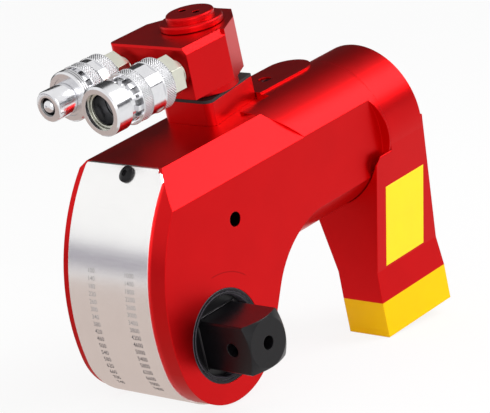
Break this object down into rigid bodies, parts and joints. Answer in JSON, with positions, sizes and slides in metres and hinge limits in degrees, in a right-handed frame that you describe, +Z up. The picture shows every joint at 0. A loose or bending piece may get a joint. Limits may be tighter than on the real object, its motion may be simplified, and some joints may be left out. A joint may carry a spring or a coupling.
{
  "type": "hydraulic torque wrench",
  "caption": "Square-drive hydraulic torque wrench: red curved housing with a side square output, swivel with a female and a male quick coupler, and a fixed reaction arm.",
  "frame": {"origin": "on the drive axis, in the plane of the piston axis", "axes": "+X from the nose to the reaction arm along the piston, +Z up, the square drive points to -Y"},
  "size_m": [0.1994, 0.1074, 0.1928],
  "materials": {
    "red_anodised": "red anodised, satin",
    "red_arm": "red coat with a yellow painted foot",
    "sheet_metal": "brushed sheet",
    "black_oxide": "black oxide, oiled",
    "tool_steel": "ground steel",
    "bright_plated": "bright plated",
    "yellow_plated": "yellow passivated plating",
    "seal_rubber": "matte black"
  },
  "bodies": {
    "housing": {"housing": "red_anodised", "nose_plate": "sheet_metal", "plate_screw": "black_oxide", "drive_bush": "black_oxide", "far_bush": "black_oxide", "gland": "tool_steel", "gland_seal": "seal_rubber", "cylinder_cap": "black_oxide", "cap_seal": "seal_rubber", "gallery_plug": "black_oxide", "reaction_arm": "red_arm", "arm_ring": "black_oxide", "latch_pin": "tool_steel", "latch_spring": "tool_steel", "swivel_base": "red_anodised", "swivel_post": "tool_steel", "swivel_ring": "seal_rubber", "swivel_cap": "red_anodised"},
    "piston": {"piston": "tool_steel", "piston_seal": "seal_rubber", "piston_rod": "bright_plated", "crosshead_pin": "tool_steel"},
    "crank": {"crank_plates": "tool_steel", "pawl_carrier": "tool_steel", "pawl_spring": "tool_steel"},
    "drive_pawl": {"drive_pawl": "tool_steel"},
    "output": {"ratchet_wheel": "tool_steel", "square_drive": "black_oxide", "drive_retainer": "black_oxide", "retainer_spring": "tool_steel"},
    "retainer_button": {"retainer_button": "bright_plated"},
    "reaction_pawl": {"reaction_pawl": "tool_steel"},
    "swivel": {"swivel_block": "red_anodised", "swivel_seals": "seal_rubber", "nipples": "yellow_plated", "female_body": "bright_plated", "female_seal": "yellow_plated", "male_body": "bright_plated"},
    "female_sleeve": {"female_sleeve": "bright_plated"},
    "female_poppet": {"female_poppet": "tool_steel"},
    "male_collar": {"male_collar": "bright_plated"},
    "male_ball": {"male_ball": "bright_plated"}
  },
  "joints": [
    {"name": "piston_stroke", "type": "slide", "parent": "housing", "child": "piston", "axis": [-1, 0, 0], "range_m": [0, 0.0284]},
    {"name": "crank_swing", "type": "hinge", "parent": "housing", "child": "crank", "pos_m": [0, 0, 0], "axis": [0, 1, 0], "range_deg": [-30, 0]},
    {"name": "drive_pawl_drop", "type": "slide", "parent": "crank", "child": "drive_pawl", "axis": [-0.2588, 0, -0.9659], "range_m": [0, 0.0023]},
    {"name": "output_turn", "type": "hinge", "parent": "housing", "child": "output", "pos_m": [0, 0, 0], "axis": [0, -1, 0], "continuous": true},
    {"name": "button_press", "type": "slide", "parent": "output", "child": "retainer_button", "axis": [0, -1, 0], "range_m": [0, 0.0023]},
    {"name": "reaction_pawl_drop", "type": "hinge", "parent": "housing", "child": "reaction_pawl", "pos_m": [0.0355, 0, 0.009], "axis": [0, -1, 0], "range_deg": [0, 9.8]},
    {"name": "swivel_turn", "type": "hinge", "parent": "housing", "child": "swivel", "pos_m": [0.0653, 0.0145, 0.12], "axis": [0, 0, 1], "continuous": true},
    {"name": "female_sleeve_turn", "type": "hinge", "parent": "swivel", "child": "female_sleeve", "pos_m": [0, -0.0006, 0.1215], "axis": [-1, 0, 0], "continuous": true},
    {"name": "female_poppet_push", "type": "slide", "parent": "swivel", "child": "female_poppet", "axis": [1, 0, 0], "range_m": [0, 0.003]},
    {"name": "male_collar_turn", "type": "hinge", "parent": "swivel", "child": "male_collar", "pos_m": [0, 0.0358, 0.1215], "axis": [-1, 0, 0], "continuous": true},
    {"name": "male_ball_push", "type": "slide", "parent": "swivel", "child": "male_ball", "axis": [1, 0, 0], "range_m": [0, 0.004]}
  ],
  "couplings": [
    {"joint": "crank_swing", "follows": "piston_stroke", "rad_per_m": -18.435}
  ]
}
